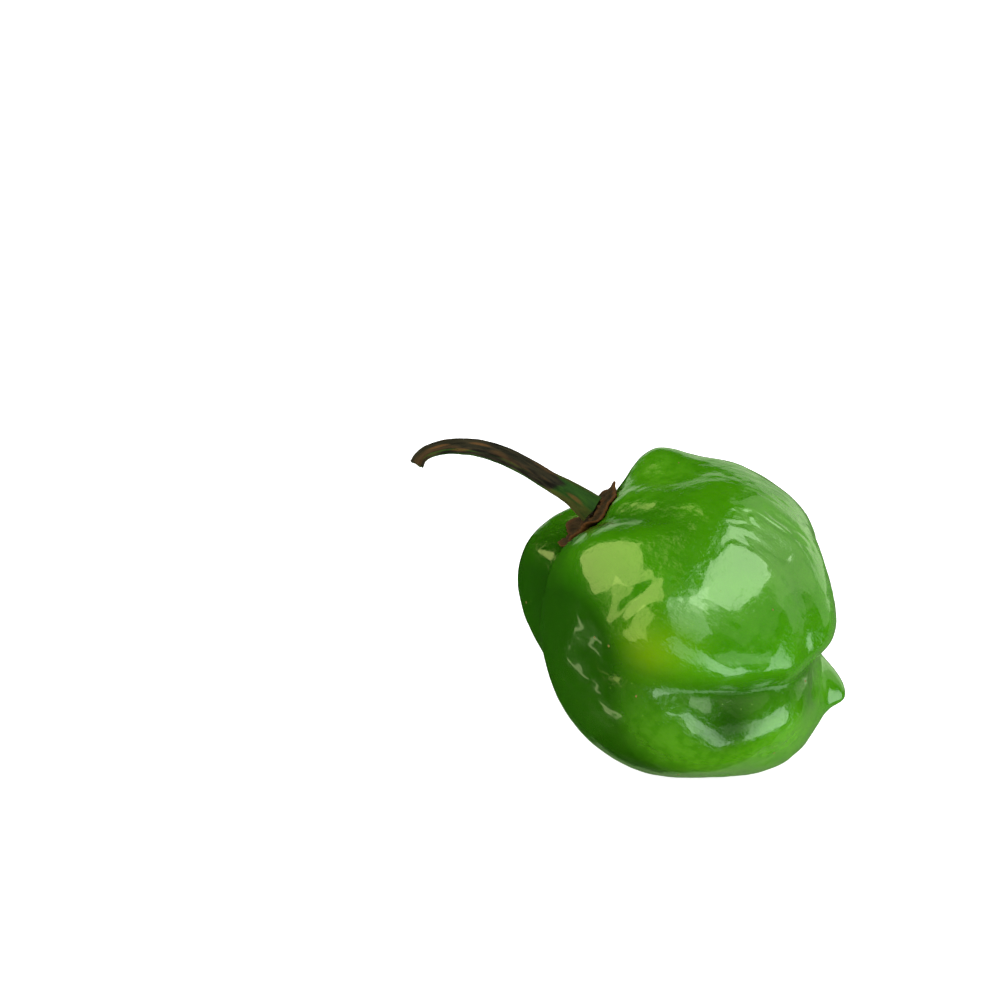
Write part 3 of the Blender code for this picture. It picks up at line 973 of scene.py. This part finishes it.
def make_floor():
    """The pale plain table, which glows a little as in a light tent."""
    made, _, _ = new_material(
        "pale floor", Roughness=0.9, Base_Color=(FLOOR_WHITE, FLOOR_WHITE, FLOOR_WHITE, 1),
        Emission_Color=(1.0, 1.0, 1.0, 1), Emission_Strength=FLOOR_GLOW)
    bpy.ops.mesh.primitive_plane_add(size=FLOOR_SIZE)
    floor = bpy.context.object
    floor.name = "floor"
    floor.data.materials.append(made)
    floor.visible_glossy = False
    return floor


def make_world():
    """Even light from all round, which the skin's gloss doesn't mirror."""
    world = bpy.data.worlds.new("pale room")
    world.use_nodes = True
    background = world.node_tree.nodes["Background"]
    background.inputs["Color"].default_value = (1.0, 1.0, 1.0, 1)
    background.inputs["Strength"].default_value = ROOM_LIGHT
    world.cycles_visibility.glossy = False
    bpy.context.scene.world = world


def make_light(name, azimuth, height, roll, size, radiance, mirrored):
    """A soft panel seen from the pod at an azimuth (0 = +Y, 90 = +X) and a height.

    A mirrored panel only shows in the skin's gloss, and any other one only lights.
    """
    a, h = math.radians(azimuth), math.radians(height)
    away = Vector((math.sin(a) * math.cos(h), math.cos(a) * math.cos(h), math.sin(h)))
    spot = away * PANEL_DISTANCE
    strongest = max(radiance)
    data = bpy.data.lights.new(name, "AREA")
    data.shape = "RECTANGLE"
    data.size, data.size_y = size
    data.energy = strongest * math.pi * size[0] * size[1]
    data.color = [channel / strongest for channel in radiance]
    lamp = bpy.data.objects.new(name, data)
    lamp.location = spot
    turn = spot.to_track_quat("Z", "Y").to_matrix() @ Matrix.Rotation(math.radians(roll), 3, "Z")
    lamp.rotation_euler = turn.to_euler()
    lamp.visible_camera = False
    lamp.visible_glossy = mirrored
    lamp.visible_diffuse = not mirrored
    bpy.context.scene.collection.objects.link(lamp)
    return lamp


def make_camera():
    """The picture's viewpoint, with the pod's middle on its own pixel of the frame."""
    ca, sa = math.cos(CAMERA_AZIMUTH), math.sin(CAMERA_AZIMUTH)
    ce, se = math.cos(CAMERA_HEIGHT), math.sin(CAMERA_HEIGHT)
    right = Vector((ca, sa, 0))
    up = Vector((-se * sa, se * ca, ce))
    back = Vector((sa * ce, -ca * ce, se))
    middle = Vector((*PLACE, REST_HEIGHT))
    scale = PICTURE_MM_PER_PIXEL * MM
    pixels_right, pixels_down = (pixel - PICTURE_PIXELS / 2 for pixel in POD_MIDDLE_PIXEL)
    target = middle - right * pixels_right * scale + up * pixels_down * scale
    data = bpy.data.cameras.new("camera")
    data.sensor_width = SENSOR_WIDTH
    data.sensor_fit = "HORIZONTAL"
    data.lens = SENSOR_WIDTH * CAMERA_DISTANCE / (PICTURE_PIXELS * scale)
    data.clip_start = 0.01
    camera = bpy.data.objects.new("camera", data)
    turn = Matrix((right, up, back)).transposed().to_4x4()
    camera.matrix_world = Matrix.Translation(target + back * CAMERA_DISTANCE) @ turn
    bpy.context.scene.collection.objects.link(camera)
    bpy.context.scene.camera = camera


def main():
    cloudy = cloudy_group()
    pores = pores_group()
    pod = make_pod(waxy_skin(cloudy, pores))
    calyx = make_calyx(dry_husk(cloudy))
    stem = make_stem(stalk_bark(cloudy, pores))
    specks = make_specks(pod, speck_brown())
    pieces = (pod, "pod", "pod_skin"), (calyx, "calyx", "calyx_husk"), (stem, "stem", "stem_bark")
    for piece, replaced, slot in pieces:
        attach(piece, "root")
        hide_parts(replaced)
    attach(specks, "root")
    make_floor()
    make_world()
    for panel in GLOSS_PANELS:
        make_light(*panel, mirrored=True)
    for lamp in LAMPS:
        make_light(*lamp, mirrored=False)
    make_camera()
    bpy.context.scene.view_settings.view_transform = "Standard"


main()
